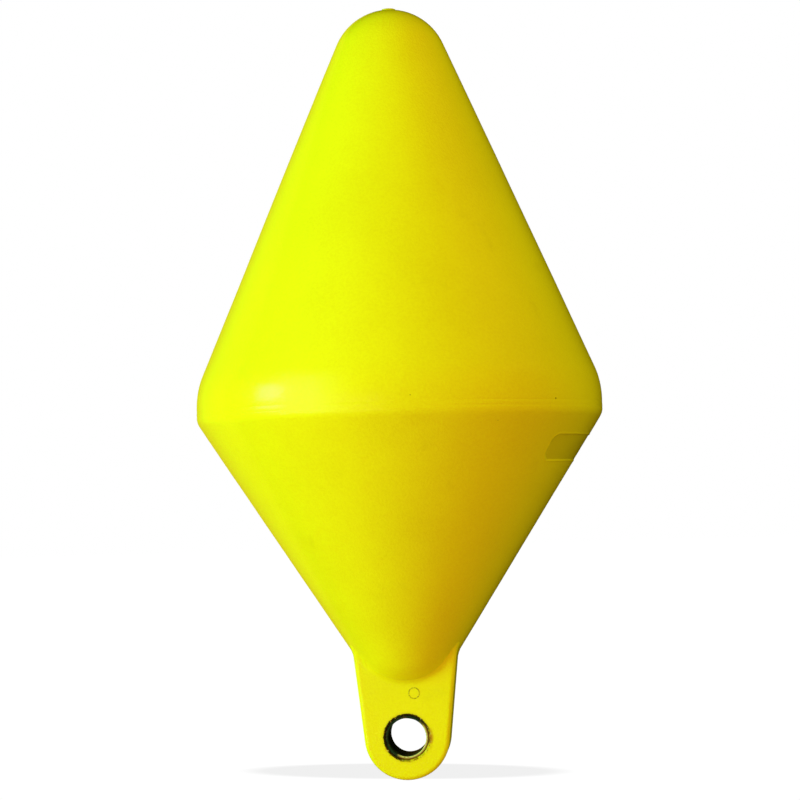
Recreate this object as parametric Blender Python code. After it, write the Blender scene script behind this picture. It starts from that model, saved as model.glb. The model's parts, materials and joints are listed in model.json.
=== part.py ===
"""Bi-conical marker buoy: a moulded plastic float of two cones set base to base, with a vent plug in
its crown and a flat mooring lug under it, whose eye is lined with a steel tube.

Lengths are in metres and +Z is up. The origin is on the float's axis at the waterline, and the flat
faces of the lug look along -Y and +Y.
"""

import math

import bmesh
import bpy
from mathutils import Matrix, Vector

# The float. Heights and depths are taken from the seam, its widest section.
FLOAT_DIAMETER = 0.400
SEAM_ABOVE_WATER = 0.030
CROWN_HEIGHT = 0.393
CROWN_RADIUS = 0.058
UPPER_BAND = 0.0
UPPER_SHOULDER_RADIUS = 0.085
CAP_DEPTH = 0.272
CAP_RADIUS = 0.0605
LOWER_BAND = 0.005
LOWER_SHOULDER_RADIUS = 0.015

# The shallow label recess, sunk into the lower cone on its +X side.
LABEL_DROP = 0.016  # down the slope, from the lower shoulder to the recess
LABEL_HEIGHT = 0.032  # along the slope
LABEL_WIDTH = 0.190  # round the cone, at the middle of the recess
LABEL_CORNER_RADIUS = 0.009
LABEL_DEPTH = 0.0004

# The vent plug in the crown.
PLUG_DIAMETER = 0.014
PLUG_LENGTH = 0.012
PLUG_PROUD = 0.0012
PLUG_EDGE = 0.0008

# The mooring lug and its eye.
EYE_BELOW_CAP = 0.0522  # from the lowest point of the float to the centre of the eye
LUG_END_RADIUS = 0.0416
LUG_TAPER = math.radians(6.2)  # of each side, so that the lug widens towards the float
LUG_THICKNESS = 0.052
LUG_EDGE_RADIUS = 0.006
TUBE_OUTER_DIAMETER = 0.0424
TUBE_WALL = 0.0026
TUBE_RECESS = 0.0015  # from each face of the lug to the tube's end
TUBE_EDGE = 0.0004
MOUTH_CHAMFER = 0.0013

EYE_DEPTH = CAP_DEPTH + EYE_BELOW_CAP

PIECE_GAP = 0.0003
CUTTER_REACH = 0.010  # how far a cutter stands out of what it cuts

FLOAT_SEGMENTS = 72
TUBE_SEGMENTS = 48
CAP_STEPS = 9
SHOULDER_STEPS = 5
LUG_END_STEPS = 28
LUG_EDGE_STEPS = 3
LABEL_CORNER_STEPS = 4

YELLOW_PLASTIC = ("yellow_polyethylene", (0.87, 0.74, 0.01), 0.38, 0.0)
PLUG_PLASTIC = ("plug_polyethylene", (0.84, 0.72, 0.02), 0.42, 0.0)
GALVANISED_STEEL = ("galvanised_steel", (0.46, 0.43, 0.36), 0.45, 1.0)


def principled(finish):
    """The material of a (name, colour, roughness, metallic) finish, made at its first use."""
    name, colour, roughness, metallic = finish
    material = bpy.data.materials.get(name)
    if material is None:
        material = bpy.data.materials.new(name)
        material.use_nodes = True
        shader = material.node_tree.nodes["Principled BSDF"]
        shader.inputs["Base Color"].default_value = (*colour, 1)
        shader.inputs["Roughness"].default_value = roughness
        shader.inputs["Metallic"].default_value = metallic
    return material


def solid(name, bm, finish=None):
    """An object made from a bmesh. One with no finish is a cutter."""
    bmesh.ops.recalc_face_normals(bm, faces=bm.faces)
    mesh = bpy.data.meshes.new(name)
    bm.to_mesh(mesh)
    bm.free()
    mesh.shade_smooth()
    mesh.set_sharp_from_angle(angle=math.radians(30))
    made = bpy.data.objects.new(name, mesh)
    bpy.context.scene.collection.objects.link(made)
    if finish is None:
        made.hide_render = True
        made.display_type = "WIRE"
    else:
        mesh.materials.append(principled(finish))
    return made


def turned(name, profile, segments, finish=None):
    """A solid of revolution about Z. Its profile is a list of (radius, height) that starts and ends on
    the axis, or a closed ring whose first point is repeated at its end."""
    bm = bmesh.new()
    line = [bm.verts.new((radius, 0, height)) for radius, height in profile]
    edges = [bm.edges.new(pair) for pair in zip(line, line[1:])]
    bmesh.ops.spin(
        bm,
        geom=line + edges,
        cent=(0, 0, 0),
        axis=(0, 0, 1),
        angle=2 * math.pi,
        steps=segments,
        use_merge=True,
    )
    bmesh.ops.remove_doubles(bm, verts=bm.verts, dist=1e-6)
    return solid(name, bm, finish)


def cut(target, cutter):
    """Takes the cutter away from the target, and lets it move with the target."""
    modifier = target.modifiers.new(cutter.name, "BOOLEAN")
    modifier.operation = "DIFFERENCE"
    modifier.solver = "EXACT"
    modifier.object = cutter
    cutter.parent = target


def place(child, parent, location=(0, 0, 0), rotation=(0, 0, 0)):
    child.parent = parent
    child.location = location
    child.rotation_euler = rotation


def arc(centre, radius, start, end, steps):
    """Points along an arc, from one angle to another, as (x, y) about its centre."""
    angles = [start + (end - start) * step / steps for step in range(steps + 1)]
    return [
        (centre[0] + radius * math.cos(angle), centre[1] + radius * math.sin(angle))
        for angle in angles
    ]


class HalfFloat:
    """One half of the float: a cone with a rounded shoulder at the seam and a ball end. Its heights
    are taken away from the seam, and it can be grown all round to make a cutter with clearance."""

    def __init__(self, height, end_radius, shoulder_radius, band, growth=0.0):
        self.height = height + growth
        self.end_radius = end_radius + growth
        self.shoulder_radius = shoulder_radius + growth
        self.rim_radius = FLOAT_DIAMETER / 2 + growth
        self.end_centre = Vector((0, height - end_radius))
        self.shoulder_centre = Vector((FLOAT_DIAMETER / 2 - shoulder_radius, band))
        # The cone touches both circles, so its normal leans by the cone's half angle.
        between = self.shoulder_centre - self.end_centre
        lean = math.acos((end_radius - shoulder_radius) / between.length)
        self.half_angle = math.atan2(between.y, between.x) + lean

    def slope_point(self, drop, depth=0.0):
        """(radius, height) on the cone, that far along it from the shoulder and that far under it."""
        normal = Vector((math.cos(self.half_angle), math.sin(self.half_angle)))
        along = Vector((-normal.y, normal.x))
        return self.shoulder_centre + normal * (self.shoulder_radius - depth) + along * drop

    def outline(self, hole_radius=0.0):
        """(radius, height) from the end, or the edge of a hole in it, out to the seam."""
        first = math.acos(hole_radius / self.end_radius)
        end = arc(self.end_centre, self.end_radius, first, self.half_angle, CAP_STEPS)
        shoulder = arc(
            self.shoulder_centre, self.shoulder_radius, self.half_angle, 0, SHOULDER_STEPS
        )
        if not hole_radius:
            end[0] = (0, self.height)
        return end + shoulder


UPPER = HalfFloat(CROWN_HEIGHT, CROWN_RADIUS, UPPER_SHOULDER_RADIUS, UPPER_BAND)
LOWER = HalfFloat(CAP_DEPTH, CAP_RADIUS, LOWER_SHOULDER_RADIUS, LOWER_BAND)


def below_seam(points):
    return [(radius, -height) for radius, height in points]


def make_upper_cone():
    """The upper cone. Its crown has a blind hole for the vent plug."""
    hole_radius = PLUG_DIAMETER / 2 + PIECE_GAP
    hole_bottom = CROWN_HEIGHT + PLUG_PROUD - PLUG_LENGTH - PIECE_GAP
    hole = [(0, hole_bottom), (hole_radius, hole_bottom)]
    seam = [(FLOAT_DIAMETER / 2, PIECE_GAP / 2), (0, PIECE_GAP / 2)]
    shell = UPPER.outline(hole_radius)
    # With no upright band the shoulder ends on the seam, where the gap's edge takes its place.
    if shell[-1][1] <= PIECE_GAP / 2:
        shell.pop()
    return turned("upper_cone", hole + shell + seam, FLOAT_SEGMENTS, YELLOW_PLASTIC)


def make_lower_cone():
    seam = [(0, -PIECE_GAP / 2), (FLOAT_DIAMETER / 2, -PIECE_GAP / 2)]
    shell = below_seam(reversed(LOWER.outline()))
    return turned("lower_cone", seam + shell, FLOAT_SEGMENTS, YELLOW_PLASTIC)


def label_columns():
    """(angle round the cone, half height) across the recess, with the rounded corners at its ends."""
    middle_radius = LOWER.slope_point(LABEL_DROP + LABEL_HEIGHT / 2).x
    straight_angle = (LABEL_WIDTH / 2 - LABEL_CORNER_RADIUS) / middle_radius
    corner = []
    for step in range(1, LABEL_CORNER_STEPS + 1):
        turn = math.pi / 2 * step / LABEL_CORNER_STEPS
        angle = straight_angle + LABEL_CORNER_RADIUS * math.sin(turn) / middle_radius
        corner.append((angle, LABEL_HEIGHT / 2 - LABEL_CORNER_RADIUS * (1 - math.cos(turn))))
    facet = 2 * math.pi / FLOAT_SEGMENTS
    inner_facets = int(straight_angle / facet)
    inner = [facet * step for step in range(-inner_facets, inner_facets + 1)]
    ends = [-straight_angle, straight_angle]
    straight = [(angle, LABEL_HEIGHT / 2) for angle in sorted({*inner, *ends})]
    return [(-angle, half) for angle, half in reversed(corner)] + straight + corner


def make_label_cutter():
    """A curved bar of four-cornered sections that follow the cone, one under each column."""
    bm = bmesh.new()
    middle = LABEL_DROP + LABEL_HEIGHT / 2
    sections = []
    for angle, half in label_columns():
        corners = [
            LOWER.slope_point(middle - half, LABEL_DEPTH),
            LOWER.slope_point(middle + half, LABEL_DEPTH),
            LOWER.slope_point(middle + half, -CUTTER_REACH),
            LOWER.slope_point(middle - half, -CUTTER_REACH),
        ]
        turn = Matrix.Rotation(angle, 3, "Z")
        sections.append(
            [bm.verts.new(turn @ Vector((radius, 0, -depth))) for radius, depth in corners]
        )
    for one, other in zip(sections, sections[1:]):
        for index in range(4):
            after = (index + 1) % 4
            bm.faces.new((one[index], one[after], other[after], other[index]))
    bm.faces.new(sections[0])
    bm.faces.new(sections[-1])
    return solid("label_cutter", bm)


def make_crown_plug():
    """A pin with a lightly rounded head, seated on the bottom of its hole."""
    radius = PLUG_DIAMETER / 2
    top = CROWN_HEIGHT + PLUG_PROUD
    bottom = top - PLUG_LENGTH
    head = arc((radius - PLUG_EDGE, top - PLUG_EDGE), PLUG_EDGE, math.pi / 2, 0, 3)
    profile = [(0, top), *head, (radius, bottom), (0, bottom)]
    return turned("crown_plug", profile, TUBE_SEGMENTS // 2, PLUG_PLASTIC)


def lug_outline():
    """(x, z) about the eye's centre: a round end, and sides that run on up, well into the float."""
    end = arc((0, 0), LUG_END_RADIUS, -LUG_TAPER, LUG_TAPER - math.pi, LUG_END_STEPS)
    top = EYE_DEPTH - LOWER.end_centre.y / 2
    right_x, right_z = end[0]
    half_top = right_x + (top - right_z) * math.tan(LUG_TAPER)
    return [*end, (-half_top, top), (half_top, top)]


def make_mooring_lug():
    """A flat tapered lug about the eye's centre, rounded along the edges of its two faces."""
    bm = bmesh.new()
    outline = [bm.verts.new((x, -LUG_THICKNESS / 2, z)) for x, z in lug_outline()]
    front = bm.faces.new(outline)
    swept = bmesh.ops.extrude_face_region(bm, geom=[front])["geom"]
    back = [item for item in swept if isinstance(item, bmesh.types.BMVert)]
    bmesh.ops.translate(bm, vec=(0, LUG_THICKNESS, 0), verts=back)
    rims = [edge for edge in bm.edges if edge.verts[0].co.y == edge.verts[1].co.y]
    bmesh.ops.bevel(
        bm,
        geom=rims,
        offset=LUG_EDGE_RADIUS,
        offset_type="OFFSET",
        segments=LUG_EDGE_STEPS,
        profile=0.5,
        affect="EDGES",
    )
    return solid("mooring_lug", bm, YELLOW_PLASTIC)


def make_float_cutter():
    """The lower cone grown by the gap, about the eye's centre, which trims the lug's root."""
    grown = HalfFloat(
        CAP_DEPTH, CAP_RADIUS, LOWER_SHOULDER_RADIUS, LOWER_BAND, growth=PIECE_GAP
    )
    shell = below_seam(reversed(grown.outline()))
    cutter = turned("float_cutter", [(0, 0), (grown.rim_radius, 0), *shell], FLOAT_SEGMENTS)
    cutter.location.z = EYE_DEPTH
    return cutter


def make_eye_cutter():
    """The hole through the lug along Z, with a chamfered mouth at each face."""
    hole_radius = TUBE_OUTER_DIAMETER / 2 + PIECE_GAP
    half = LUG_THICKNESS / 2
    out = (hole_radius + MOUTH_CHAMFER + CUTTER_REACH, half + CUTTER_REACH)
    throat = (hole_radius, half - MOUTH_CHAMFER)
    side = [out, throat, (throat[0], -throat[1]), (out[0], -out[1])]
    return turned("eye_cutter", [(0, out[1]), *side, (0, -out[1])], TUBE_SEGMENTS)


def make_eye_tube():
    """A length of round tube along Z, with its end edges lightly broken."""
    outer = TUBE_OUTER_DIAMETER / 2
    inner = outer - TUBE_WALL
    half = LUG_THICKNESS / 2 - TUBE_RECESS
    right = [(outer - TUBE_EDGE, half), (outer, half - TUBE_EDGE)]
    left = [(inner, half - TUBE_EDGE), (inner + TUBE_EDGE, half)]
    ring = right + below_seam(reversed(right)) + below_seam(reversed(left)) + left
    return turned("eye_tube", [*ring, ring[0]], TUBE_SEGMENTS, GALVANISED_STEEL)


def build():
    for old in list(bpy.data.objects):
        bpy.data.objects.remove(old)

    waterline = bpy.data.objects.new("waterline", None)
    bpy.context.scene.collection.objects.link(waterline)
    seam = (0, 0, SEAM_ABOVE_WATER)
    eye = (0, 0, SEAM_ABOVE_WATER - EYE_DEPTH)
    across = (math.pi / 2, 0, 0)

    place(make_upper_cone(), waterline, seam)
    place(make_crown_plug(), waterline, seam)

    lower_cone = make_lower_cone()
    cut(lower_cone, make_label_cutter())
    place(lower_cone, waterline, seam)

    mooring_lug = make_mooring_lug()
    eye_cutter = make_eye_cutter()
    eye_cutter.rotation_euler = across
    cut(mooring_lug, make_float_cutter())
    cut(mooring_lug, eye_cutter)
    place(mooring_lug, waterline, eye)
    place(make_eye_tube(), waterline, eye, across)


build()
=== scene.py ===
"""Marker buoy: the moulded float, its mooring lug, the steel tube in the eye and the vent plug,
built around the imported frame, with a studio stage to show them on.

Lengths are in metres and +Z is up, as in the frame. The origin is on the float's axis at the
waterline, and the buoy is seen from -Y, with +X on the right.
"""

import json
import math

import bpy
import numpy as np
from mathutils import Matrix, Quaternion, Vector

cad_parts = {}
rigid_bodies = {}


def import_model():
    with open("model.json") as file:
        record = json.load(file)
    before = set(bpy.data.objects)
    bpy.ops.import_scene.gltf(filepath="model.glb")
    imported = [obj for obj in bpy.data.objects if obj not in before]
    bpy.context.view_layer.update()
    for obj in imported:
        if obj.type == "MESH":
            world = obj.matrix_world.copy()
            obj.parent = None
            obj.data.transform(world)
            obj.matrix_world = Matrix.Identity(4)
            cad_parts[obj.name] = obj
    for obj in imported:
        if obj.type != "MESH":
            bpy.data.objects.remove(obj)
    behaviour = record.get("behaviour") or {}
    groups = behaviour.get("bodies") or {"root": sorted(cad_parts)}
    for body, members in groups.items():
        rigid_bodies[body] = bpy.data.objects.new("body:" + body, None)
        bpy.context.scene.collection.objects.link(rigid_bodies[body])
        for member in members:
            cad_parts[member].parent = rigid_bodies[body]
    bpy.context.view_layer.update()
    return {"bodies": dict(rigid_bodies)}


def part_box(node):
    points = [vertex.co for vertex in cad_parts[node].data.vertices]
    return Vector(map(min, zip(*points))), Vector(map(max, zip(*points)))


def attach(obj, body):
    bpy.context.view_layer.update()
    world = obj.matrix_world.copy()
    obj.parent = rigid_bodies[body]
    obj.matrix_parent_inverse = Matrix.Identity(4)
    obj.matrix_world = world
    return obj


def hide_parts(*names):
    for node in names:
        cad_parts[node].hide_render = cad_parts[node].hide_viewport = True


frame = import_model()

bl_info = {
    "name": "Marker Buoy",
    "version": (1, 0, 0),
    "blender": (4, 5, 0),
    "location": "View3D > Sidebar > Marker Buoy",
    "description": "Builds a moulded marker buoy on its frame, with a studio stage",
    "category": "Add Mesh",
}

UPPER_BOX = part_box("upper_cone")
LOWER_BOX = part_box("lower_cone")
LUG_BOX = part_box("mooring_lug")
TUBE_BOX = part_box("eye_tube")
PLUG_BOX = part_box("crown_plug")

SEAM = (UPPER_BOX[0].z + LOWER_BOX[1].z) / 2
RIM_RADIUS = UPPER_BOX[1].x
CAP_DEPTH = SEAM - LOWER_BOX[0].z
EYE = (TUBE_BOX[0] + TUBE_BOX[1]) / 2
TUBE_RADIUS = TUBE_BOX[1].x
LUG_HALF_THICKNESS = LUG_BOX[1].y
LUG_END_RADIUS = EYE.z - LUG_BOX[0].z
TUBE_END = TUBE_BOX[1].y
PLUG_RADIUS = PLUG_BOX[1].x
BODY = next(iter(frame["bodies"]))


# ------------------
# Settings


def length(name, description, default, lowest=0.0):
    return bpy.props.FloatProperty(
        name=name, description=description, default=default, min=lowest, unit="LENGTH", precision=4
    )


def angle(name, description, degrees):
    return bpy.props.FloatProperty(
        name=name, description=description, default=math.radians(degrees), subtype="ANGLE"
    )


def share(name, description, default):
    return bpy.props.FloatProperty(
        name=name, description=description, default=default, min=0, max=1, subtype="FACTOR"
    )


def power(name, description, default):
    return bpy.props.FloatProperty(
        name=name, description=description, default=default, min=0, unit="POWER"
    )


def colour(name, description, default):
    return bpy.props.FloatVectorProperty(
        name=name, description=description, default=default, size=3, min=0, max=1, subtype="COLOR"
    )


class FloatSettings(bpy.types.PropertyGroup):
    plug_proud: length("Plug proud", "How far the vent plug stands out of the crown", 0.0012)
    crown_radius: length("Crown radius", "Radius of the rounded crown", 0.058)
    upper_shoulder: length("Upper shoulder", "Radius of the shoulder above the seam", 0.085)
    cap_radius: length("Cap radius", "Radius of the rounded lower end", 0.0557)
    cap_drop: length("Cap drop", "How far the rounded end reaches down into the lug", 0.0046)
    lower_shoulder: length("Lower shoulder", "Radius of the shoulder under the seam", 0.015)
    lower_band: length("Lower band", "Upright band between the seam and the lower shoulder", 0.008)
    label_drop: length("Label drop", "Down the slope from the shoulder to the recess", 0.0215)
    label_height: length("Label height", "Height of the label recess along the slope", 0.0300)
    label_width: length("Label width", "Width of the label recess round the cone", 0.219)
    label_corner: length("Label corner", "Radius of the label recess's corners", 0.0110)
    label_depth: length("Label depth", "Depth of the label recess", 0.0004)
    label_bead: length("Label bead", "Height of the low bead round the recess", 0.0003)
    waviness: length("Waviness", "How uneven the moulded skin is", 0.00016)
    peel: length("Peel", "Height of the skin's fine texture", 0.0005)
    upper_groove: length("Upper groove", "From the seam to the mould line's first groove", 0.0025)
    lower_groove: length("Lower groove", "From the seam to its second groove", 0.0078)
    flash_height: length("Flash height", "Height of the flash between the grooves", 0.00022)
    yellow: colour("Yellow", "Colour of the polyethylene", (0.85, 0.81, 0.004))
    deep_yellow: colour("Deep yellow", "Where the pigment lies thicker", (0.77, 0.69, 0.003))
    smudge: colour("Smudge", "Faint dirt in patches", (0.50, 0.42, 0.004))
    # Laid evenly over the vent plug as a little dirt, and over the label recess's floor as painted
    # shade.
    film: colour("Film", "Dirt that lies evenly", (0.24, 0.22, 0.004))
    settled: colour("Settled", "Dirt that has settled on the mould mark", (0.30, 0.23, 0.006))
    speck: colour("Speck", "Dark grains in the skin", (0.07, 0.05, 0.004))


class LugSettings(bpy.types.PropertyGroup):
    taper: angle("Taper", "Slope of each side of the lug", 6.2)
    edge_radius: length("Edge radius", "Rounding along the edges of the two faces", 0.0044)
    root_fillet: length("Root fillet", "How far the fillet reaches at the float", 0.004)
    root_height: length("Root height", "How far the lug runs up into the float", 0.050)
    mouth_chamfer: length("Mouth chamfer", "Worn chamfer round the eye", 0.0013)
    mouth_wear: length("Mouth wear", "How ragged the edge of the eye is", 0.0007)
    mark_radius: length("Mark radius", "Radius of the round mould mark", 0.0052)
    mark_height: length("Mark height", "Height of the mould mark above the eye's centre", 0.043)
    mark_shift: length("Mark shift", "How far the mould mark lies to the right", 0.008)
    haze_reach: length("Haze reach", "How far the thin dirt reaches from the eye", 0.0045)
    crust_reach: length("Crust reach", "How far the thick dirt reaches from the eye", 0.0012)
    stain_reach: length("Stain reach", "How wide the rust stain is", 0.0042)
    haze: colour("Haze", "Thin dirt round the eye", (0.42, 0.28, 0.01))
    grime: colour("Grime", "Thick dirt in the eye's mouth", (0.020, 0.012, 0.004))
    # The grime drawn lighter where the key light catches the eye's mouth: painted light on grime.
    thin_grime: colour("Thin grime", "The same where it has rubbed off", (0.16, 0.075, 0.006))
    stain: colour("Stain", "Rust stain on the plastic by the eye", (0.44, 0.15, 0.01))
    chip: colour("Chip", "Fresh plastic where the edge is chipped", (0.80, 0.74, 0.28))


class TubeSettings(bpy.types.PropertyGroup):
    wall: length("Wall", "Wall of the steel tube", 0.0026)
    edge: length("Edge", "Rounding of the tube's ends", 0.0007)
    weld_height: length("Weld height", "Height of the bead inside the tube", 0.0004)
    # Worn zinc drawn bright where the bore's edge catches the key light: painted highlight.
    zinc: colour("Zinc", "Colour of the worn zinc", (0.74, 0.72, 0.26))
    # Grease and dirt in the tube; the green in it is painted reflection.
    dirt: colour("Dirt", "Colour of the grease and dirt in the tube", (0.012, 0.030, 0.013))
    rust: colour("Rust", "Colour of the rust on the tube", (0.19, 0.075, 0.02))
    # Laid on the lit side of the tube's end: painted light over a stained end.
    golden: colour("Golden", "Colour of the stained end of the tube", (0.30, 0.17, 0.02))
    # A lighter band inside the tube: painted reflection.
    streak: colour("Streak", "Colour of the lighter band inside", (0.16, 0.19, 0.12))


class StageSettings(bpy.types.PropertyGroup):
    lens: bpy.props.FloatProperty(
        name="Lens", description="Focal length", default=107.06, min=10, unit="CAMERA"
    )
    camera_distance: length("Distance", "From the float's axis to the camera", 2.35)
    camera_azimuth: angle("Azimuth", "Of the camera, from -Y towards +X", 3.65)
    camera_height: length("Height", "Of the camera above the waterline", -0.051, lowest=-1)
    camera_aim: length("Aim", "Height that the camera looks at", 0.0354, lowest=-1)
    camera_side: length("Aim to the side", "How far right of the axis it looks", 0.0007, lowest=-1)
    camera_roll: angle("Roll", "Turn of the camera about its own axis", -1.6)
    key_power: power("Key power", "Of the tall light on the left", 69.5)
    key_tint: colour("Key tint", "Colour of the key light", (0.285, 1.0, 0.60))
    glint_power: power("Glint power", "Of the small light that makes the highlight", 2.9)
    glint_tint: colour("Glint tint", "Colour of the glint light", (0.02, 0.05, 1.0))
    warm_power: power("Warm power", "Of the warm light in front", 24.0)
    warm_tint: colour("Warm tint", "Colour of the warm light", (1.0, 0.16, 0.40))
    side_power: power("Side power", "Of the high light on the right", 20.0)
    side_tint: colour("Side tint", "Colour of the side light", (0.95, 1.0, 0.05))
    rear_power: power("Rear power", "Of the large light behind on the left", 30.0)
    rear_tint: colour("Rear tint", "Colour of the rear light", (1.0, 0.66, 0.04))
    ambient: share("Ambient", "Strength of the light from all round", 0.475)
    ambient_tint: colour("Ambient tint", "Colour of that light", (1.0, 0.77, 0.16))
    pool_shade: share("Pool shade", "Darkness of the pool of shade under the lug", 0.13)
    pool_width: length("Pool width", "Width of the pool of shade", 0.35)
    pool_depth: length("Pool depth", "Depth of the pool of shade, from front to back", 0.136)
    pool_turn: angle("Pool turn", "Turn of the pool of shade about the axis", -12.6)
    pool_middle: bpy.props.FloatVectorProperty(
        name="Pool middle",
        description="Middle of the pool of shade on the floor",
        default=(-0.009, 0.054),
        size=2,
        unit="LENGTH",
    )


# ------------------
# Materials


class Reading:
    """What a node gives at each point of a surface, which takes part in plain sums."""

    def __init__(self, finish, socket):
        self.finish = finish
        self.socket = socket

    def worked(self, operation, *values):
        return self.finish.node("Math", {"operation": operation}, dict(enumerate(values)))

    def __add__(self, other):
        return self.worked("ADD", self, other)

    def __sub__(self, other):
        return self.worked("SUBTRACT", self, other)

    def __rsub__(self, other):
        return self.worked("SUBTRACT", other, self)

    def __mul__(self, other):
        return self.worked("MULTIPLY", self, other)

    def __pow__(self, other):
        return self.worked("POWER", self, other)

    __radd__ = __add__

    def most(self, other):
        return self.worked("MAXIMUM", self, other)

    def size(self):
        return self.worked("ABSOLUTE", self)

    def between(self, low, high):
        """0 at low and 1 at high, with a soft start and end. Low may be the larger."""
        settings = {"interpolation_type": "SMOOTHSTEP"}
        return self.finish.node("MapRange", settings, {0: self, 1: low, 2: high})


class Nodes:
    """Puts a node tree together, one node at a time."""

    def __init__(self, holder):
        holder.use_nodes = True
        self.tree = holder.node_tree
        self.tree.nodes.clear()

    def node(self, kind, settings=(), sockets=(), output=None):
        """Adds a node with its settings, then its sockets' values or links. Reads one output."""
        made = self.tree.nodes.new("ShaderNode" + kind)
        for name, value in dict(settings).items():
            setattr(made, name, value)
        for name, value in dict(sockets).items():
            if isinstance(name, int):
                socket = made.inputs[name]
            else:
                socket = next(one for one in made.inputs if one.name == name and one.enabled)
            if isinstance(value, Reading):
                self.tree.links.new(value.socket, socket)
            else:
                socket.default_value = value
        found = [one for one in made.outputs if one.enabled and output in (None, one.name)]
        return Reading(self, found[0]) if found else None


class Finish(Nodes):
    """A material."""

    def __init__(self, name):
        self.material = bpy.data.materials.new(name)
        super().__init__(self.material)
        self.place = self.node("TexCoord", output="Object")

    def noise(self, scale, detail=2.0, place=None, roughness=0.5, distortion=0.0):
        """Soft noise from 0 to 1 with that many features to a metre."""
        values = {"Vector": place or self.place, "Scale": scale, "Detail": detail}
        values |= {"Roughness": roughness, "Distortion": distortion}
        return self.node("TexNoise", {}, values)

    def blend(self, amount, first, second):
        """The first colour where amount is 0, and the second where it is 1."""
        colours = [one if isinstance(one, Reading) else (*one, 1) for one in (first, second)]
        values = {"Factor": amount, "A": colours[0], "B": colours[1]}
        return self.node("Mix", {"data_type": "RGBA", "blend_type": "MIX"}, values)

    def moved(self, offset=(0, 0, 0), scale=(1, 1, 1)):
        """The place on the surface, shifted, then stretched along each axis."""
        shifted = self.node("VectorMath", {"operation": "SUBTRACT"}, {0: self.place, 1: offset})
        return self.node("VectorMath", {"operation": "MULTIPLY"}, {0: shifted, 1: scale})

    def distance(self, point, scale=(1, 1, 1)):
        """How far the place on the surface lies from a point, with each axis scaled."""
        offset = self.moved(point, scale)
        return self.node("VectorMath", {"operation": "LENGTH"}, {0: offset}, output="Value")

    def slant(self, reach):
        """Across the eye's face: 1 at that reach down to the right and -1 up to the left."""
        shares = self.moved(EYE, [part / reach for part in DOWN_RIGHT])
        settings = {"operation": "DOT_PRODUCT"}
        return self.node("VectorMath", settings, {0: shares, 1: (1, 1, 1)}, "Value")

    def bump(self, height, metres):
        """A normal for a height from 0 to 1 that stands for that many metres."""
        return self.node("Bump", {}, {"Strength": 1.0, "Distance": metres, "Height": height})

    def finished(self, constants, **varying):
        """Ends the material with a Principled shader. Constants go on its own sockets."""
        values = dict(constants)
        values.update({name.replace("_", " "): reading for name, reading in varying.items()})
        shader = self.node("BsdfPrincipled", {}, values)
        self.node("OutputMaterial", {"target": "ALL"}, {"Surface": shader})
        return self.material


# The side of the eye that the key light catches inside: the dirt round the eye is drawn
# thinner and lighter there and the tube's end brighter, which is painted light.
DOWN_RIGHT = (0.8, 0, -0.6)

PLASTIC = {"IOR": 1.5, "Specular IOR Level": 0.05}
PLASTIC |= {"Coat Weight": 1.0, "Coat IOR": 1.5, "Coat Roughness": 0.19}
ZINC = {"IOR": 1.5, "Specular IOR Level": 0.15}

# Where the larger dark grains sit in the skin, and the radius of each.
SPECKS = (
    ((0.1543, -0.1272, 0.0280), 0.0010),
    ((0.0226, -0.1987, 0.0325), 0.0006),
    ((0.1006, -0.1657, 0.0081), 0.0004),
)


def polyethylene(name, settings, film=0.0, eye=None):
    """Rotationally moulded polyethylene: satin, faintly mottled, with a fine orange peel.
    A given amount of an even darker layer goes over it: a little dirt on the vent plug, and
    painted shade over the floor of the label recess. With the lug's settings as eye, it is worn
    and dirty there. Its dirt is drawn thinner and lighter on the eye's lower right, where the key
    light catches it: painted light."""
    finish = Finish(name)
    clouds = finish.noise(9, 3, roughness=0.55)
    mottle = finish.noise(420, 3, roughness=0.65)
    grain = finish.noise(1500, 2)
    scuffs = finish.noise(1, 4, finish.moved(scale=(55, 55, 420)), 0.6, 0.4).between(0.62, 0.72)
    worn = finish.noise(26, 4, roughness=0.62).between(0.56, 0.70)

    depth = (clouds.between(0.30, 0.75) * 0.55 + mottle.between(0.35, 0.70) * 0.45) * 0.8
    base = finish.blend(depth, settings.yellow, settings.deep_yellow)
    # An even darker layer: dirt on the vent plug, painted shade in the label recess.
    if film:
        base = finish.blend(film, base, settings.film)
    smudges = finish.noise(24, 3, roughness=0.6).between(0.60, 0.76)
    base = finish.blend(smudges * 0.12, base, settings.smudge)
    specks = dark_grains(finish, mottle)
    base = finish.blend(specks * 0.85, base, settings.speck)

    roughness = 0.36 + clouds * 0.08 + mottle * 0.06 + worn * scuffs * 0.12
    relief = mottle * 0.8 + grain * 0.2 - scuffs * worn * 0.15
    coat = 1 - specks
    if eye is not None:
        base, crust = worn_eye(finish, base, eye)
        roughness = roughness + crust * 0.25
        relief = relief + crust * finish.noise(900, 3) * 1.5
        coat = 1 - crust
    looks = {"Base_Color": base, "Roughness": roughness, "Coat_Weight": coat}
    return finish.finished(PLASTIC, Normal=finish.bump(relief, settings.peel), **looks)


def dark_grains(finish, mottle):
    """Where dark grains show: the larger ones at their places, and a few small scattered ones."""
    cells = finish.node("TexVoronoi", {}, {"Vector": finish.place, "Scale": 36}, "Distance")
    found = cells.between(0.055, 0.03) * finish.noise(15, 0).between(0.70, 0.74)
    for place, radius in SPECKS:
        ragged = finish.distance(place) + mottle * 0.0012
        found = found.most(ragged.between(radius + 0.0010, radius))
    return found


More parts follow.
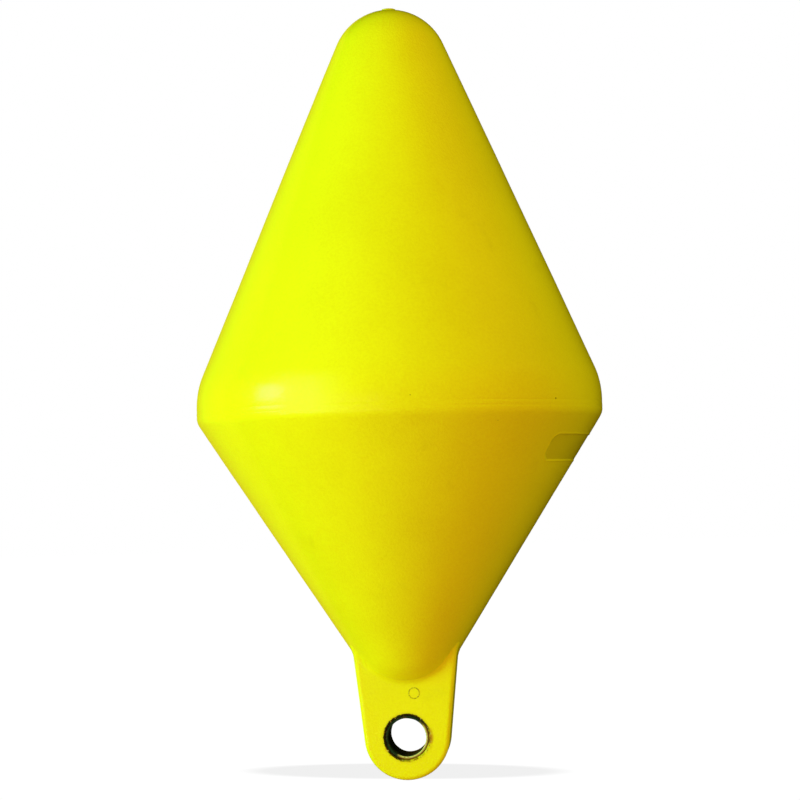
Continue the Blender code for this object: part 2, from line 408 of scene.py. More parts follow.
def worn_eye(finish, base, eye):
    """The base colour with the dirt, the rust stain and the chips round the eye laid over it, and
    how thickly the dirt lies. The dirt is drawn thinner and lighter on the eye's lower right,
    where the key light catches the mouth: painted light."""
    bore = TUBE_RADIUS + eye.mouth_chamfer
    ragged = finish.distance(EYE, (1, 0, 1))
    ragged = ragged + (finish.noise(420, 3) - 0.5) * 0.0022 + (finish.noise(90, 2) - 0.5) * 0.0018
    slant = finish.slant(bore)
    # Where the key light catches the eye's mouth the grime is drawn thinner and lighter: painted
    # light.
    lit_clean_side = slant.between(0.2, 0.95)

    haze = ragged.between(bore + eye.haze_reach, bore - 0.0002) ** 1.5
    crust = ragged.between(bore + eye.crust_reach, bore + 0.0002)
    crust = crust * (1 - lit_clean_side * finish.noise(300, 3).between(0.3, 0.6))
    crust = crust * finish.noise(650, 2).between(0.22, 0.34)
    stained = EYE + Vector((TUBE_RADIUS + 0.0016, 0, -0.0005))
    stain = finish.distance(stained, (1.0, 0, 0.34)).between(eye.stain_reach, 0.0008)
    stain = stain * finish.noise(260, 3).between(0.25, 0.6)
    chips = ragged.between(bore + 0.0016, bore + 0.0008) * finish.noise(210, 3).between(0.60, 0.64)

    base = finish.blend(haze * 0.35, base, eye.haze)
    base = finish.blend(stain * 0.8, base, eye.stain)
    base = finish.blend(crust * 0.97, base, finish.blend(lit_clean_side, eye.grime, eye.thin_grime))
    return finish.blend(chips * slant.between(0.9, 0.0), base, eye.chip), crust


def moulded_mark(name, settings):
    """Polyethylene that dirt has settled on."""
    finish = Finish(name)
    mottle = finish.noise(900, 3, roughness=0.65)
    dirt = mottle.between(0.30, 0.65) * 0.75 + 0.2
    base = finish.blend(dirt, settings.yellow, settings.settled)
    relief = finish.bump(mottle, 0.00008)
    return finish.finished(PLASTIC, Base_Color=base, Roughness=0.5 + mottle * 0.1, Normal=relief)


def galvanised(name, settings):
    """Old zinc on steel, dark with grease inside. Its end and the bore's edge are drawn bright
    and gold-coloured on the lower right, where the key light catches them: painted highlight on
    worn zinc. The green of the bore and a lighter band in it are painted reflection.
    """
    finish = Finish(name)
    inner = TUBE_RADIUS - settings.wall
    across = finish.node("SeparateXYZ", {}, {0: finish.place}, output="Y").size()
    blots = finish.noise(160, 4, roughness=0.65)
    fine = finish.noise(1400, 3, roughness=0.6)
    lines = finish.noise(1, 3, finish.moved(EYE, (500, 60, 500)), 0.55)

    at_end = across.between(TUBE_END - 0.0022, TUBE_END - 0.0006)
    at_bore = finish.distance(EYE, (1, 0, 1)).between(inner + 0.0018, inner + 0.0004)
    # The lower right, where the key light catches the tube: drawn brighter there, painted light.
    lit_open_side = (finish.slant(inner) + blots * 0.6).between(0.30, 0.75)
    bare_and_lit = at_end * at_bore * lit_open_side * blots.between(0.28, 0.42)
    rusty = blots.between(0.54, 0.64) * across.between(TUBE_END - 0.006, TUBE_END)
    # A lighter band along the bore: painted reflection.
    streak = across.between(0.0120, 0.0150) * across.between(0.0190, 0.0165)

    # Dark grease and dirt, with a painted green reflection in it.
    base = finish.blend(rusty * 0.5, settings.dirt, settings.rust)
    # The end made gold-coloured on its lit side: painted light over a stain.
    base = finish.blend(at_end * lit_open_side * 0.85, base, settings.golden)
    base = finish.blend(streak * lines * 0.30, base, settings.streak)
    # Worn-through zinc at the lit edge of the bore: painted highlight.
    base = finish.blend(bare_and_lit, base, settings.zinc)
    return finish.finished(
        ZINC,
        Base_Color=base,
        Metallic=bare_and_lit * 0.25,
        Roughness=0.42 + (1 - bare_and_lit) * 0.16 + fine * 0.15,
        Normal=finish.bump(fine * 0.4 + lines * 0.4 + blots * 0.6, 0.00012),
    )


# ------------------
# Shapes


SKIN_GAP = 0.0003  # between the plug and its hole
COARSE = 0.0045  # between the rings of the float, where nothing fine is on it
STEPS_ROUND = 300  # round the float, away from the label recess


def spots(x, y, z):
    """Points from three coordinates, each an array or one number."""
    return np.stack(np.broadcast_arrays(x, y, z), axis=1)


def circle_of(turns):
    """Points on a circle of radius 1 round the float's axis."""
    return spots(np.cos(turns), np.sin(turns), 0.0)


def full_turn(count):
    return np.linspace(0, 2 * math.pi, count, endpoint=False)


def soft_step(values, low, high):
    """0 up to low and 1 from high on, with a soft start and end."""
    part = np.clip((np.asarray(values, float) - low) / (high - low), 0, 1)
    return part * part * (3 - 2 * part)


def ripples(points, wavelength, seed, count=40):
    """Smooth unevenness from about -1 to 1 over points, as a sum of waves in random directions."""
    chance = np.random.default_rng(seed)
    waves = chance.normal(size=(count, 3))
    waves /= np.linalg.norm(waves, axis=1)[:, None]
    waves *= 2 * math.pi / (wavelength * chance.uniform(0.7, 1.5, count))[:, None]
    phases = chance.uniform(0, 2 * math.pi, count)
    return np.sin(np.asarray(points) @ waves.T + phases).sum(axis=1) / math.sqrt(count)


def graded(start, end, coarse, zones=()):
    """Positions from start to end, close together in each (middle, half width, spacing) zone."""
    found = [start]
    while found[-1] < end:
        steps = [coarse]
        for middle, half, fine in zones:
            steps.append(fine + 0.3 * max(0.0, abs(found[-1] - middle) - half))
        found.append(found[-1] + min(steps))
    if end - found[-2] < (found[-1] - found[-2]) / 2 and len(found) > 2:
        found.pop(-2)
    found[-1] = end
    return np.array(found)


class Skin:
    """A mesh made of rings that follow one another, closed by a point or by its first ring."""

    def __init__(self):
        self.points = []
        self.faces = []
        self.groups = []
        self.last = None
        self.first = None

    def add(self, points):
        start = sum(len(block) for block in self.points)
        self.points.append(np.asarray(points, float).reshape(-1, 3))
        return np.arange(start, start + len(self.points[-1]))

    def join(self, one, other, group=0):
        """Quads from one ring to the next. Group gives the material of each."""
        after_one, after_other = np.roll(one, -1), np.roll(other, -1)
        self.faces.extend(np.stack([one, after_one, after_other, other], axis=1).tolist())
        self.groups.extend(np.broadcast_to(group, len(one)).tolist())

    def ring(self, points, group=0):
        added = self.add(points)
        if self.last is None:
            self.first = added
        else:
            self.join(self.last, added, group)
        self.last = added

    def point(self, place, ring):
        """Closes a ring with a fan of triangles."""
        centre = int(self.add([place])[0])
        pairs = zip(ring.tolist(), np.roll(ring, -1).tolist())
        self.faces.extend([[a, b, centre] for a, b in pairs])
        self.groups.extend([0] * len(ring))

    def loop(self):
        self.join(self.last, self.first)

    def made(self, name, materials, sharp=40):
        """The finished object, its faces looking outward. Edges sharper than that many degrees
        are drawn sharp."""
        mesh = bpy.data.meshes.new(name)
        points = np.concatenate(self.points)
        mesh.from_pydata(points.tolist(), [], self.faces)
        mesh.polygons.foreach_set("material_index", self.groups)
        mesh.validate()
        if self.volume(points) < 0:
            mesh.flip_normals()
        mesh.shade_smooth()
        mesh.set_sharp_from_angle(angle=math.radians(sharp))
        for material in materials:
            mesh.materials.append(material)
        return placed(name, mesh)

    def volume(self, points):
        """Six times the volume inside, below 0 if the faces look inward."""
        total = 0.0
        for count in (3, 4):
            faces = np.array([face for face in self.faces if len(face) == count], int)
            for fan in range(count - 2):
                if len(faces):
                    a, b, c = (points[faces[:, index]] for index in (0, fan + 1, fan + 2))
                    total += float(np.einsum("ij,ij->i", a, np.cross(b, c)).sum())
        return total


def placed(name, data):
    """A new object in the scene."""
    made = bpy.data.objects.new(name, data)
    bpy.context.scene.collection.objects.link(made)
    return made


def attached(piece, slot, *nodes):
    """The piece rides on the buoy and stands for those frame nodes, which it hides. Slot is not
    used.
    """
    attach(piece, BODY)
    if nodes:
        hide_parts(*nodes)


class HalfFloat:
    """The section of half the float: a band at the seam, a rounded shoulder, a cone and a ball
    end. A run is how far along the skin a point lies from the seam."""

    def __init__(self, height, end_radius, shoulder_radius, band, way):
        self.end_radius, self.shoulder_radius, self.band = end_radius, shoulder_radius, band
        self.way = way  # 1 for the upper half and -1 for the lower
        self.end_centre = Vector((0, height - end_radius))
        self.shoulder_centre = Vector((RIM_RADIUS - shoulder_radius, band))
        between = self.shoulder_centre - self.end_centre
        lean = math.acos((end_radius - shoulder_radius) / between.length)
        self.half_angle = math.atan2(between.y, between.x) + lean
        self.shoulder_run = band + shoulder_radius * self.half_angle
        self.cone_run = self.shoulder_run + between.length * math.sin(lean)
        self.end_run = self.cone_run + end_radius * (math.pi / 2 - self.half_angle)

    def section(self, run):
        """(radius, height from the seam, tilt of the outward normal) at each run."""
        run = np.asarray(run, float)
        turned = np.clip(run - self.band, 0, self.shoulder_run - self.band) / self.shoulder_radius
        along = np.clip(run - self.shoulder_run, 0, self.cone_run - self.shoulder_run)
        tilt = self.half_angle + np.clip(run - self.cone_run, 0, None) / self.end_radius
        radius = self.shoulder_centre.x + self.shoulder_radius * np.cos(turned)
        radius -= along * math.sin(self.half_angle)
        radius += self.end_radius * (np.cos(tilt) - math.cos(self.half_angle))
        height = np.clip(run, 0, self.band) + self.shoulder_radius * np.sin(turned)
        height += along * math.cos(self.half_angle)
        height += self.end_radius * (np.sin(tilt) - math.sin(self.half_angle))
        return radius, height, np.where(run > self.cone_run, tilt, turned)

    def run_at(self, radius):
        """The run at which the ball end has shrunk to that radius."""
        turned = math.acos(radius / self.end_radius) - self.half_angle
        return self.cone_run + self.end_radius * turned

    def ring(self, run, azimuths, relief):
        """A ring round the axis at that run, each point moved out by its relief."""
        radius, height, tilt = self.section(run)
        out = radius + relief * np.cos(tilt)
        z = SEAM + self.way * (height + relief * np.sin(tilt))
        return spots(out * np.cos(azimuths), out * np.sin(azimuths), z)

    def distance(self, points):
        """How far points lie outside this half, beyond its shoulder."""
        across = np.hypot(points[:, 0], points[:, 1])
        up = self.way * (points[:, 2] - SEAM) - self.end_centre.y
        normal = np.array([math.cos(self.half_angle), math.sin(self.half_angle)])
        past = up * normal[0] - across * normal[1]
        cone = across * normal[0] + up * normal[1]
        return np.where(past > 0, np.hypot(across, up), cone) - self.end_radius


class Label:
    """The shallow label recess on the lower cone, centred on +X."""

    WALL = 0.0012  # how far in from its outline the recess reaches its full depth
    BEAD = 0.0010  # half the width of the bead

    def __init__(self, half, settings):
        self.half, self.settings = half, settings
        self.middle = half.shoulder_run + settings.label_drop + settings.label_height / 2
        self.radius = float(half.section(self.middle)[0])
        self.end_azimuth = settings.label_width / 2 / self.radius

    def outside(self, run, azimuths):
        """How far each point lies outside the recess's rounded outline."""
        corner = self.settings.label_corner
        round_cone = np.abs((azimuths + math.pi) % (2 * math.pi) - math.pi) * self.radius
        along = round_cone - self.settings.label_width / 2 + corner
        up = np.abs(run - self.middle) - self.settings.label_height / 2 + corner
        past = np.hypot(np.clip(along, 0, None), np.clip(up, 0, None))
        return past + np.minimum(np.maximum(along, up), 0) - corner

    def relief(self, outside):
        """A low bead round the edge, and the sunk floor inside it."""
        bead = self.settings.label_bead * np.exp(-((outside / self.BEAD) ** 2))
        return bead - self.settings.label_depth * soft_step(-outside, -0.0002, self.WALL)

    def azimuth_zone(self):
        """Where the azimuths lie close together, for the recess's round end."""
        corner = self.settings.label_corner / self.radius
        return (self.end_azimuth - corner / 2, corner / 2 + 0.012, 0.0042)

    def run_zones(self):
        """Where the rings lie close together, for its upper and lower edges."""
        edge = self.settings.label_height / 2
        fine = (0.0016, 0.0005)
        return [(self.middle - edge, *fine), (self.middle + edge, *fine)]


def halves(settings):
    """The sections of the upper and the lower half of the float."""
    crown_height = PLUG_BOX[1].z - settings.plug_proud - SEAM
    upper = HalfFloat(crown_height, settings.crown_radius, settings.upper_shoulder, 0.0, 1)
    depth = CAP_DEPTH + settings.cap_drop
    lower = HalfFloat(depth, settings.cap_radius, settings.lower_shoulder, settings.lower_band, -1)
    return upper, lower


def moulding_relief(half, run, azimuths, settings):
    """How far the skin stands off its true shape at one run: never outside it at the rim."""
    points = half.ring(run, azimuths, 0.0)
    wave = ripples(points, 0.16, 3) * 0.7 + ripples(points, 0.045, 8) * 0.22
    return settings.waviness * (wave - 1.6 * float(soft_step(-run, -0.03, 0)))


def parting_relief(half, run, azimuths, settings):
    """The mould's parting line: two fine grooves with a low band of trimmed flash between them."""
    points = half.ring(run, azimuths, 0.0)
    wander = 0.0004 * ripples(points, 0.20, 21)
    strength = 0.65 + 0.35 * ripples(points, 0.12, 22)
    first, second = settings.upper_groove, settings.lower_groove
    upper_line = np.exp(-(((run - first - wander) / 0.00055) ** 2))
    lower_line = np.exp(-(((run - second - wander * 1.4) / 0.0006) ** 2))
    band = soft_step(run, first + 0.0008, first + 0.0023)
    band = band * (1 - soft_step(run, second - 0.0018, second - 0.0006))
    flash = band * 0.7 - upper_line - lower_line * np.clip(strength, 0.2, 1)
    return settings.flash_height * flash * np.clip(strength, 0.35, 1.2)


def make_float_shells(settings):
    upper, lower = halves(settings)
    label = Label(lower, settings)
    half_turn = graded(0, math.pi, 2 * math.pi / STEPS_ROUND, [label.azimuth_zone()])
    azimuths = np.concatenate([half_turn, -half_turn[-2:0:-1]])
    yellow = polyethylene("yellow_polyethylene", settings)
    # The label recess's floor is darkened evenly: painted shade.
    panel = polyethylene("label_polyethylene", settings, film=0.24)
    make_upper_shell(upper, azimuths, settings, yellow)
    make_lower_shell(lower, label, azimuths, settings, [yellow, panel])


def make_upper_shell(half, azimuths, settings, material):
    """The upper half, with a blind hole in its crown for the plug."""
    shell = Skin()
    hole = PLUG_RADIUS + SKIN_GAP
    last_run = half.run_at(hole + 0.0006)
    seam_zone, hole_zone = (0, 0.004, 0.0012), (last_run, 0.001, 0.0004)
    for run in graded(0, last_run, COARSE, [seam_zone, hole_zone]):
        shell.ring(half.ring(run, azimuths, moulding_relief(half, run, azimuths, settings)))
    close_seam(shell, azimuths)
    top = float(half.section(last_run)[1]) + SEAM
    bottom = 0.0112
    for radius, depth in ((hole + 0.0002, 0.0001), (hole, 0.0005), (hole, 0.004), (hole, bottom)):
        shell.ring(circle_of(azimuths) * radius + (0, 0, top - depth))
    shell.point((0, 0, top - bottom), shell.last)
    attached(shell.made("upper_shell", [material]), "yellow_plastic", "upper_cone")


def make_lower_shell(half, label, azimuths, settings, materials):
    """The lower half, with the parting line under the seam and the label recess."""
    shell = Skin()
    parting_zone = (0.0055, 0.0050, 0.0004)
    zones = [parting_zone, *label.run_zones()]
    for run in graded(0, half.run_at(0.0015), COARSE, zones):
        outside = label.outside(run, azimuths)
        relief = moulding_relief(half, run, azimuths, settings) + label.relief(outside)
        relief += parting_relief(half, run, azimuths, settings)
        # Faces inside the recess take the second material, with its painted shade.
        shell.ring(half.ring(run, azimuths, relief), (outside < -label.WALL).astype(int))
    close_seam(shell, azimuths)
    shell.point((0, 0, LOWER_BOX[0].z - settings.cap_drop), shell.last)
    attached(shell.made("lower_shell", materials), "yellow_plastic", "lower_cone")


def close_seam(shell, azimuths):
    """A flat wall across the float at the seam."""
    inner = shell.first
    for part in (0.96, 0.6, 0.2):
        added = shell.add(circle_of(azimuths) * RIM_RADIUS * part + (0, 0, SEAM))
        shell.join(added, inner)
        inner = added
    shell.point((0, 0, SEAM), inner[::-1])


class LugShape:
    """The lug as distances: a slab with a round end and tapered sides, blended into the float."""

    def __init__(self, settings, lower):
        self.settings, self.lower = settings, lower
        self.top = LOWER_BOX[0].z + settings.root_height - EYE.z

    def outline(self, x, z):
        """How far (x, z) about the eye lies outside the lug's outline, and which way is out."""
        side = np.array([math.cos(self.settings.taper), -math.sin(self.settings.taper)])
        wide = np.abs(x)
        straight = -wide * side[1] + z * side[0] > 0
        far = np.where(straight, wide * side[0] + z * side[1], np.hypot(x, z)) - LUG_END_RADIUS
        around = np.maximum(np.hypot(x, z), 1e-9)
        out_x = np.where(straight, side[0], wide / around) * np.sign(x)
        out = np.stack([out_x, np.where(straight, side[1], z / around)])
        root = z - self.top > far
        far = np.where(root, z - self.top, far)
        return far, np.where(root, np.array([[0.0], [1.0]]), out)

    def distance(self, points):
        edge = self.settings.edge_radius
        far, _ = self.outline(points[:, 0], points[:, 2] - EYE.z)
        thick = np.abs(points[:, 1]) - LUG_HALF_THICKNESS
        past = np.hypot(np.clip(far + edge, 0, None), np.clip(thick + edge, 0, None))
        return past + np.minimum(np.maximum(far, thick) + edge, 0) - edge

    def blended(self, points):
        """The slab and the float together, with a fillet where they meet."""
        lug, body = self.distance(points), self.lower.distance(points)
        reach = self.settings.root_fillet
        overlap = np.clip(reach - np.abs(lug - body), 0, None)
        return np.minimum(lug, body) - overlap**2 / reach / 4

    def filleted(self, points, out):
        """Points moved out until they lie on the blended shape. Those that would move far are let
        in under the float's skin."""
        travel = np.zeros(len(points))
        for _ in range(60):
            travel -= self.blended(points + out * travel[:, None]) * 0.8
        travel = np.clip(travel, 0, 0.02)
        reach = self.settings.root_fillet
        travel -= 0.0025 * soft_step(travel, reach * 0.55, reach * 1.4)
        return points + out * travel[:, None]

    def rim(self, rays):
        """Where rays from the eye's centre come within the edge radius of the outline."""
        near, far = np.zeros(rays.shape[1]), np.full(rays.shape[1], 0.2)
        for _ in range(48):
            middle = (near + far) / 2
            inside = self.outline(*(rays * middle))[0] < -self.settings.edge_radius
            near, far = np.where(inside, middle, near), np.where(inside, far, middle)
        return rays * near


def make_lug(settings, float_settings):
    shape = LugShape(settings, halves(float_settings)[1])
    turns = np.linspace(-math.pi, math.pi, 288, endpoint=False)
    rays = np.stack([np.cos(turns), np.sin(turns)])
    rim = shape.rim(rays)
    out = shape.outline(*rim)[1]
    half, edge, chamfer = LUG_HALF_THICKNESS, settings.edge_radius, settings.mouth_chamfer

    bore = TUBE_RADIUS + 0.00025
    mouth_circle = spots(rays[0], 0.0, rays[1]) * 0.022
    worn = ripples(mouth_circle, 0.0035, 31) * 0.6 + ripples(mouth_circle, 0.011, 32) * 0.5
    chipped = np.clip(ripples(mouth_circle, 0.006, 33) - 0.9, 0, None)

    def lip(side, mouth, wear):
        """(x, z) about the eye and y of each ring from the bore out to the flat face."""
        depths = [
            (bore, chamfer * 3.5),
            (bore, chamfer * 1.6),
            (bore + 0.0002, chamfer * 1.05),
            (bore * 0.45 + mouth * 0.55, chamfer * 0.5 + wear * 0.3),
            (mouth - 0.0001, 0.00025),
            (mouth + 0.0004, 0.00002),
        ]
        return [(rays * radius, side * (half - depth)) for radius, depth in depths]

    def outer(side, mouth):
        """The same, with the way out at each point, from the face round the edge to the side."""
        rows = []
        for part in np.linspace(0, 1, 64)[1:]:
            flat = rays * (mouth + 0.0004) * (1 - part) + rim * part
            rows.append((flat, side * half, np.zeros_like(rays), side))
        for turn in np.linspace(0, math.pi / 2, 9)[1:]:
            turned, left = math.sin(turn), math.cos(turn)
            y = side * (half - edge * (1 - left))
            rows.append((rim + out * edge * turned, y, out * turned, side * left))
        return rows + [(rim + out * edge, side * y, out, 0) for y in np.linspace(0.018, 0.003, 6)]

    def add_lip(rows):
        for flat, y in rows:
            skin.ring(as_ring(flat, y))

    def add_outer(rows):
        for flat, y, way, way_y in rows:
            skin.ring(shape.filleted(as_ring(flat, y), spots(way[0], way_y, way[1])))

    skin = Skin()
    for side, strength in ((-1, 1), (1, -0.8)):
        wear = settings.mouth_wear * worn * strength
        mouth = bore + chamfer + wear + chipped * 0.0006
        if side < 0:
            add_lip(lip(side, mouth, wear))
            add_outer(outer(side, mouth))
        else:
            add_outer(reversed(outer(side, mouth)))
            add_lip(reversed(lip(side, mouth, wear)))
    add_lip((rays * bore, y) for y in np.linspace(0.018, -0.018, 7))
    skin.loop()
    finish = polyethylene("lug_polyethylene", float_settings, eye=settings)
    attached(skin.made("lug_skin", [finish], 50), "yellow_plastic", "mooring_lug")


def as_ring(flat, y):
    """(x, z) about the eye and y as points."""
    return spots(flat[0], y, flat[1] + EYE.z)


def make_mark(settings, float_settings):
    """A plain ring that stands a little out of the lug's front face."""
    turns = full_turn(96)
    centre = Vector((settings.mark_shift, -LUG_HALF_THICKNESS, EYE.z + settings.mark_height))
    # Across the ring's wire, and out of the face.
    section = [(-0.0007, -0.0004), (-0.0005, 0.0001), (-0.0002, 0.00025)]
    section += [(-across, proud) for across, proud in reversed(section)]
    skin = Skin()
    for across, proud in section:
        radius = settings.mark_radius + across
        x, z = radius * np.cos(turns), radius * np.sin(turns)
        skin.ring(spots(centre.x + x, centre.y - proud, centre.z + z))
    skin.loop()
    finish = moulded_mark("mark_polyethylene", float_settings)
    attached(skin.made("mould_mark", [finish]), "yellow_plastic")


def make_eye_tube(settings):
    """The tube along Y: sawn ends with rounded edges, and a low weld bead along its bore."""
    turns = full_turn(192)
    rays = np.stack([np.cos(turns), np.sin(turns)])
    half, outer, inner = TUBE_END, TUBE_RADIUS, TUBE_RADIUS - settings.wall
    edge = settings.edge
    bead_turn, bead_width = math.radians(232), 0.055
    bead = settings.weld_height * np.exp(-(((turns - bead_turn) / bead_width) ** 2))
    circle = as_ring(rays * outer, 0.0)
    sawn = 0.00012 * ripples(circle, 0.02, 41) + 0.00005 * ripples(circle, 0.004, 42)

    def end(side):
        """(radius, y) pairs over one end, from the outside in."""
        turned = [(outer, -1, turn) for turn in np.linspace(0, math.pi / 2, 6)]
        turned += [(inner, 1, turn) for turn in np.linspace(math.pi / 2, 0, 8)]
        pairs = []
        for radius, way, turn in turned:
            y = side * (half - edge * (1 - math.sin(turn)))
            pairs.append((radius + way * edge * (1 - math.cos(turn)), y))
        return pairs

    lengths = np.linspace(-1, 1, 25)[1:-1] * (half - edge)
    outside = [(outer, y) for y in lengths]
    inside = [(inner, y) for y in lengths[::-1]]
    skin = Skin()
    for radius, y in outside + end(1) + inside + end(-1)[::-1]:
        lift = bead * (radius < (inner + outer) / 2) * float(soft_step(half - abs(y), 0, 0.002))
        dent = 0.00008 * ripples(as_ring(rays * radius, y), 0.015, 43)
        drift = -np.sign(y) * np.abs(sawn) * float(soft_step(abs(y), half - 0.002, half))
        skin.ring(as_ring(rays * (radius - lift - np.abs(dent)), y + drift))
    skin.loop()
    finish = galvanised("galvanised_steel", settings)
    attached(skin.made("eye_sleeve", [finish]), "galvanised_steel", "eye_tube")


def make_vent_plug(settings):
    """A pressed-in plug: a rounded head with a shallow dish in it."""
    circle = circle_of(full_turn(96))
    top, bottom, radius = PLUG_BOX[1].z, PLUG_BOX[0].z, PLUG_RADIUS
    edge, dish = 0.0009, 0.00035
    profile = [(radius * 0.15, bottom), (radius * 0.9, bottom), (radius, bottom + 0.0006)]
    profile += [(radius, z) for z in np.linspace(bottom + 0.002, top - 0.0014, 6)]
    for turn in np.linspace(0, math.pi / 2, 6):
        in_by, down_by = edge * (1 - math.cos(turn)), edge * (1 - math.sin(turn))
        profile.append((radius - in_by, top - down_by))
    for part in np.linspace(0.8, 0.1, 9):
        profile.append((radius * part, top - dish * float(soft_step(-part, -0.72, -0.45))))
    skin = Skin()
    for ring_radius, z in profile:
        uneven = 0.00004 * ripples(circle * ring_radius + (0, 0, z), 0.004, 51)
        skin.ring(circle * (ring_radius - np.abs(uneven))[:, None] + (0, 0, z))
    skin.point((0, 0, bottom), skin.first[::-1])
    skin.point((0, 0, top - dish), skin.last)
    finish = polyethylene("plug_polyethylene", settings, film=0.05)
    attached(skin.made("vent_plug", [finish]), "yellow_plastic", "crown_plug")


# ------------------
# Stage


FLOOR_GLOW = 1.02
FLOOR_RINGS = (9.0, 4.0, 2.0, 1.0, 0.4)


def make_floor(settings):
    """A wide white floor under the lug, with a pool of shade on it. It glows by itself, so that it
    stays white far away, lights nothing, and can't be seen from below."""
    circle = circle_of(full_turn(64))
    level = LUG_BOX[0].z
    skin = Skin()
    for radius in FLOOR_RINGS:
        skin.ring(circle * radius + (0, 0, level))
    skin.point((0, 0, level), skin.last)
    finish = Finish("floor_paper")
    pool = {
        "Vector": finish.place,
        "Location": (*settings.pool_middle, level),
        "Rotation": (0, 0, settings.pool_turn),
        "Scale": (settings.pool_width / 2, settings.pool_depth / 2, 1),
    }
    inside = finish.node("Mapping", {"vector_type": "TEXTURE"}, pool)
    outward = finish.node("VectorMath", {"operation": "LENGTH"}, {0: inside})
    deepest = settings.pool_shade + FLOOR_GLOW - 1
    light = FLOOR_GLOW - outward.between(1.06, 0.80) * deepest
    seen = finish.node("Emission", {}, {"Color": (1, 1, 1, 1), "Strength": light})
    clear = finish.node("BsdfTransparent")
    below = finish.node("NewGeometry", output="Backfacing")
    surface = finish.node("MixShader", {}, {0: below, 1: seen, 2: clear})
    finish.node("OutputMaterial", {}, {"Surface": surface})
    floor = skin.made("floor", [finish.material])
    if floor.data.polygons[0].normal.z < 0:
        floor.data.flip_normals()
    floor.visible_glossy = floor.visible_diffuse = floor.visible_shadow = False


# Name, azimuth from -Y towards +X and elevation in degrees, distance, width and height in metres,
# and whether it shows in reflections.
LIGHTS = (
    ("key", -54, 6, 2.4, 1.4, 2.0, False),
    ("glint", -71, 11, 2.2, 0.6, 0.5, True),
    ("warm", -22, -8, 2.4, 1.4, 1.4, False),
    ("side", 80, 40, 2.6, 1.4, 1.4, False),
    ("rear", -140, 2, 3.0, 3.6, 4.2, True),
)


def add_light(name, azimuth, elevation, distance, width, height, glossy, watts, tint):
    """A soft flat light that looks at the float."""
    light = bpy.data.lights.new(name, "AREA")
    light.shape = "RECTANGLE"
    light.size, light.size_y = width, height
    light.energy = watts
    light.color = tint
    lamp = placed(name, light)
    turn, lift = math.radians(azimuth), math.radians(elevation)
    across = math.cos(lift)
    way = Vector((math.sin(turn) * across, -math.cos(turn) * across, math.sin(lift)))
    lamp.location = way * distance + Vector((0, 0, SEAM))
    lamp.rotation_mode = "QUATERNION"
    lamp.rotation_quaternion = way.to_track_quat("Z", "Y")
    lamp.visible_camera = False
    lamp.visible_glossy = glossy


def make_world(settings):
    """White all round to the camera, and a dim even light for everything else."""
    world = bpy.data.worlds.new("studio")
    bpy.context.scene.world = world
    nodes = Nodes(world)
    tint = (*settings.ambient_tint, 1)
    even = nodes.node("Background", {}, {"Color": tint, "Strength": settings.ambient})
    white = nodes.node("Background", {}, {"Color": (1, 1, 1, 1)})
    seen = nodes.node("LightPath", output="Is Camera Ray")
    mixed = nodes.node("MixShader", {}, {0: seen, 1: even, 2: white})
    nodes.node("OutputWorld", {}, {"Surface": mixed})
    world.cycles_visibility.glossy = False


def make_camera(settings):
    """A long lens, a little below the float's middle and to the right."""
    data = bpy.data.cameras.new("camera")
    data.lens = settings.lens
    data.clip_start, data.clip_end = 0.01, 100
    camera = placed("camera", data)
    turn, away = settings.camera_azimuth, settings.camera_distance
    camera.location = (away * math.sin(turn), -away * math.cos(turn), settings.camera_height)
    look = Vector((settings.camera_side, 0, settings.camera_aim)) - camera.location
    roll = Quaternion((0, 0, 1), settings.camera_roll)
    camera.rotation_mode = "QUATERNION"
    camera.rotation_quaternion = look.to_track_quat("-Z", "Y") @ roll
    bpy.context.scene.camera = camera


# ------------------
# Operators, panel and registration


class BUOY_OT_float_shells(bpy.types.Operator):
    """Build the upper and lower shells of the float"""

    bl_idname = "buoy.float_shells"
    bl_label = "Float Shells"

    def execute(self, context):
        make_float_shells(context.scene.buoy_float)
        return {"FINISHED"}


class BUOY_OT_mooring_lug(bpy.types.Operator):
    """Build the mooring lug"""

    bl_idname = "buoy.mooring_lug"
    bl_label = "Mooring Lug"

    def execute(self, context):
        make_lug(context.scene.buoy_lug, context.scene.buoy_float)
        return {"FINISHED"}


class BUOY_OT_mould_mark(bpy.types.Operator):
    """Build the round mould mark on the lug's front face"""

    bl_idname = "buoy.mould_mark"
    bl_label = "Mould Mark"

    def execute(self, context):
        make_mark(context.scene.buoy_lug, context.scene.buoy_float)
        return {"FINISHED"}


class BUOY_OT_eye_sleeve(bpy.types.Operator):
    """Build the steel tube that lines the eye"""

    bl_idname = "buoy.eye_sleeve"
    bl_label = "Eye Sleeve"

    def execute(self, context):
        make_eye_tube(context.scene.buoy_tube)
        return {"FINISHED"}


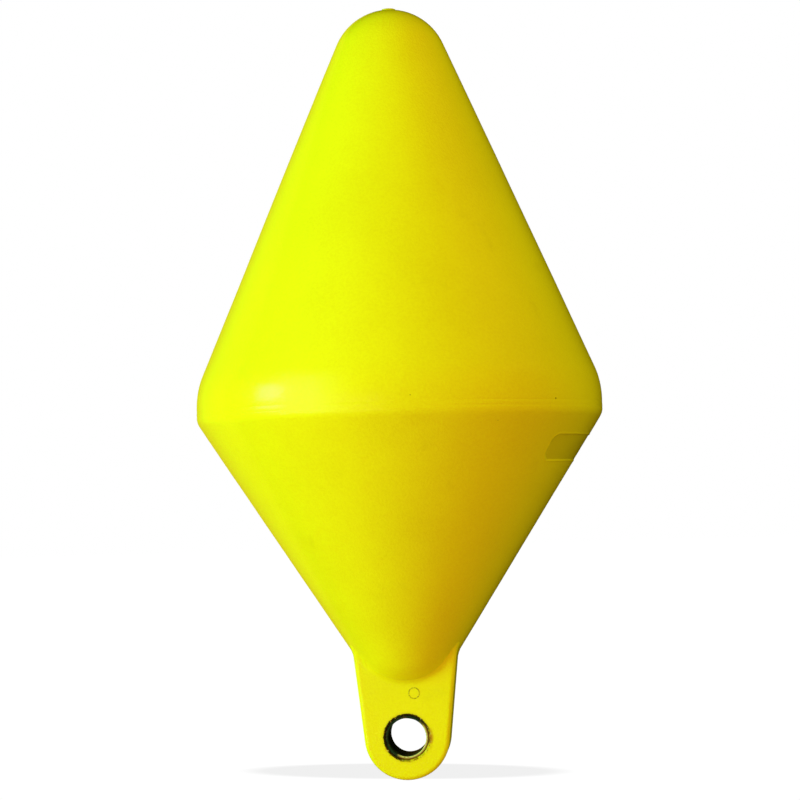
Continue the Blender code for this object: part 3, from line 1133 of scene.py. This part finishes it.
class BUOY_OT_vent_plug(bpy.types.Operator):
    """Build the vent plug in the crown"""

    bl_idname = "buoy.vent_plug"
    bl_label = "Vent Plug"

    def execute(self, context):
        make_vent_plug(context.scene.buoy_float)
        return {"FINISHED"}


class BUOY_OT_stage(bpy.types.Operator):
    """Set up the floor, the lights and the camera"""

    bl_idname = "buoy.stage"
    bl_label = "Stage"

    def execute(self, context):
        settings = context.scene.buoy_stage
        make_world(settings)
        make_floor(settings)
        for name, *where in LIGHTS:
            watts, tint = (getattr(settings, f"{name}_{part}") for part in ("power", "tint"))
            add_light(name, *where, watts, tint)
        make_camera(settings)
        context.scene.view_settings.view_transform = "Standard"
        return {"FINISHED"}


class BUOY_PT_panel(bpy.types.Panel):
    """Lists what the add-on builds"""

    bl_label = "Marker Buoy"
    bl_space_type = "VIEW_3D"
    bl_region_type = "UI"
    bl_category = "Marker Buoy"

    def draw(self, context):
        for operator in OPERATORS:
            self.layout.operator(operator.bl_idname)
        for holder in SETTINGS:
            box = self.layout.box()
            group = getattr(context.scene, holder)
            for name in group.__annotations__:
                box.prop(group, name)


SETTINGS = {
    "buoy_float": FloatSettings,
    "buoy_lug": LugSettings,
    "buoy_tube": TubeSettings,
    "buoy_stage": StageSettings,
}
OPERATORS = (
    BUOY_OT_float_shells,
    BUOY_OT_mooring_lug,
    BUOY_OT_mould_mark,
    BUOY_OT_eye_sleeve,
    BUOY_OT_vent_plug,
    BUOY_OT_stage,
)


def register():
    for known in (*SETTINGS.values(), *OPERATORS, BUOY_PT_panel):
        bpy.utils.register_class(known)
    for holder, group in SETTINGS.items():
        setattr(bpy.types.Scene, holder, bpy.props.PointerProperty(type=group))


def unregister():
    for holder in SETTINGS:
        delattr(bpy.types.Scene, holder)
    for known in (BUOY_PT_panel, *reversed(OPERATORS), *reversed(SETTINGS.values())):
        bpy.utils.unregister_class(known)


def main():
    register()
    bpy.ops.buoy.float_shells()
    bpy.ops.buoy.mooring_lug()
    bpy.ops.buoy.mould_mark()
    bpy.ops.buoy.eye_sleeve()
    bpy.ops.buoy.vent_plug()
    bpy.ops.buoy.stage()
    bpy.context.view_layer.update()


if __name__ == "__main__":
    main()
